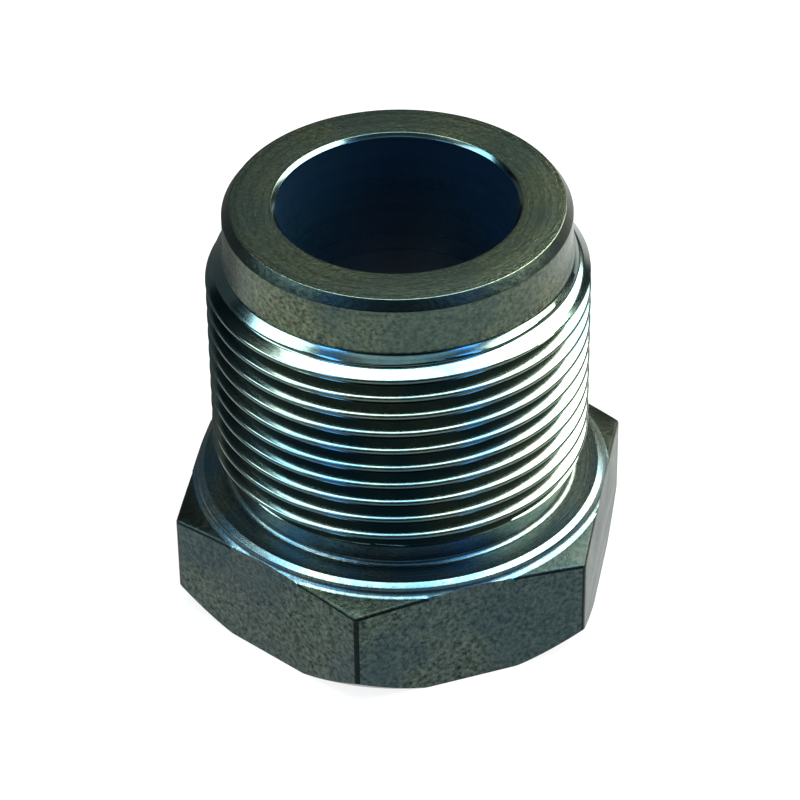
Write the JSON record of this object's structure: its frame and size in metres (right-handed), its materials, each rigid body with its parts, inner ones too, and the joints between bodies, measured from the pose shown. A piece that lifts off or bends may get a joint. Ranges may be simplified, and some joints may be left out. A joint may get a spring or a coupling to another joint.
{
  "type": "hex nipple",
  "caption": "Zinc-plated steel hex nipple: hexagon with a female port, turned washer face, parallel male pipe thread and a plain pilot spigot, bored through.",
  "frame": {"origin": "centre of the hexagon's end face, on the bore's axis", "axes": "+Z along the bore towards the spigot, with a hexagon corner on -Y and flats facing +X and -X"},
  "size_m": [0.046, 0.0532, 0.0486],
  "materials": {
    "zinc_plated_steel": "turned and drawn free-cutting steel, zinc plated with a clear blue passivation, satin with bright turned edges",
    "nitrile_rubber": "pressed nitrile rubber, matt black"
  },
  "bodies": {
    "root": {"nipple_body": "zinc_plated_steel", "sealing_ring": "nitrile_rubber"}
  },
  "joints": []
}
